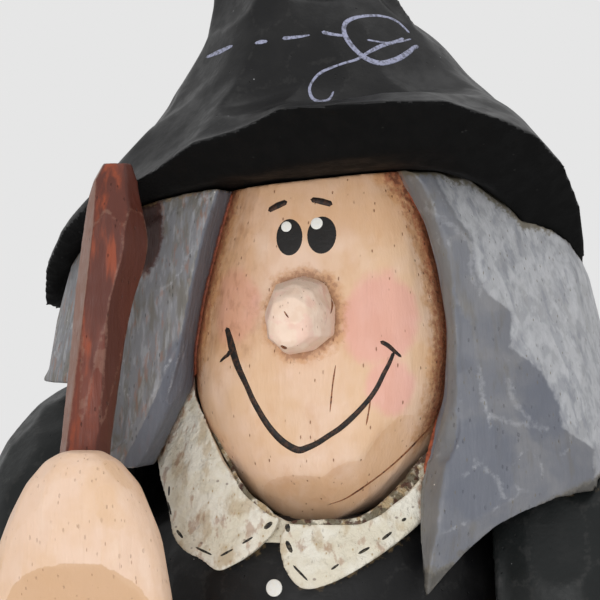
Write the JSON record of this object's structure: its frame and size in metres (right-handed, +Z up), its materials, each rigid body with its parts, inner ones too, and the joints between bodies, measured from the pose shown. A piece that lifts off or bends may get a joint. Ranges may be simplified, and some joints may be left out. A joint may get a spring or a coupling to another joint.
{
  "type": "witch figurine",
  "caption": "Standing carved wooden witch with a drooping pointed hat, long grey hair, a potato nose, a scalloped collar and one hand wrapped round a broomstick; rests on a felt pad.",
  "frame": {"origin": "centre of the felt pad's underside, on the surface that the figure stands on", "axes": "+Z up along the figure, -Y towards the viewer, so the figure faces -Y; +X is the viewer's right"},
  "size_m": [0.1218, 0.1147, 0.2919],
  "materials": {
    "felt": "matt pressed felt",
    "dress_paint": "black paint on carved wood, satin, worn at the edges",
    "boot_paint": "black paint on carved wood, satin",
    "bare_wood": "bare turned dowel",
    "sleeve_paint": "black paint on carved wood, satin, worn at the edges",
    "skin_paint": "flesh paint with brown antiquing, eggshell",
    "face_paint": "flesh paint with brown antiquing and painted features, eggshell",
    "collar_paint": "cream paint with brown antiquing, matt",
    "hair_paint": "grey paint, dry-brushed lighter, eggshell",
    "hat_paint": "black paint on carved wood, satin, with a painted line and curl",
    "stick_stain": "red-brown stain, satin",
    "straw": "carved splints, straw-coloured stain",
    "twine": "wound twine"
  },
  "bodies": {
    "root": {"base_felt": "felt", "dress": "dress_paint", "boot_left": "boot_paint", "boot_right": "boot_paint", "shoulder_peg_left": "bare_wood", "shoulder_peg_right": "bare_wood", "sleeve_left": "sleeve_paint", "sleeve_right": "sleeve_paint", "hand_left": "skin_paint", "hand_right": "skin_paint", "collar_band": "collar_paint", "collar_left": "collar_paint", "collar_right": "collar_paint", "neck_peg": "bare_wood", "head": "face_paint", "nose": "skin_paint", "hair_left": "hair_paint", "hair_right": "hair_paint", "hair_back": "hair_paint", "hat_peg": "bare_wood", "hat": "hat_paint", "broom_handle": "stick_stain", "broom_bristles": "straw", "broom_binding_upper": "twine", "broom_binding_lower": "twine"}
  },
  "joints": []
}
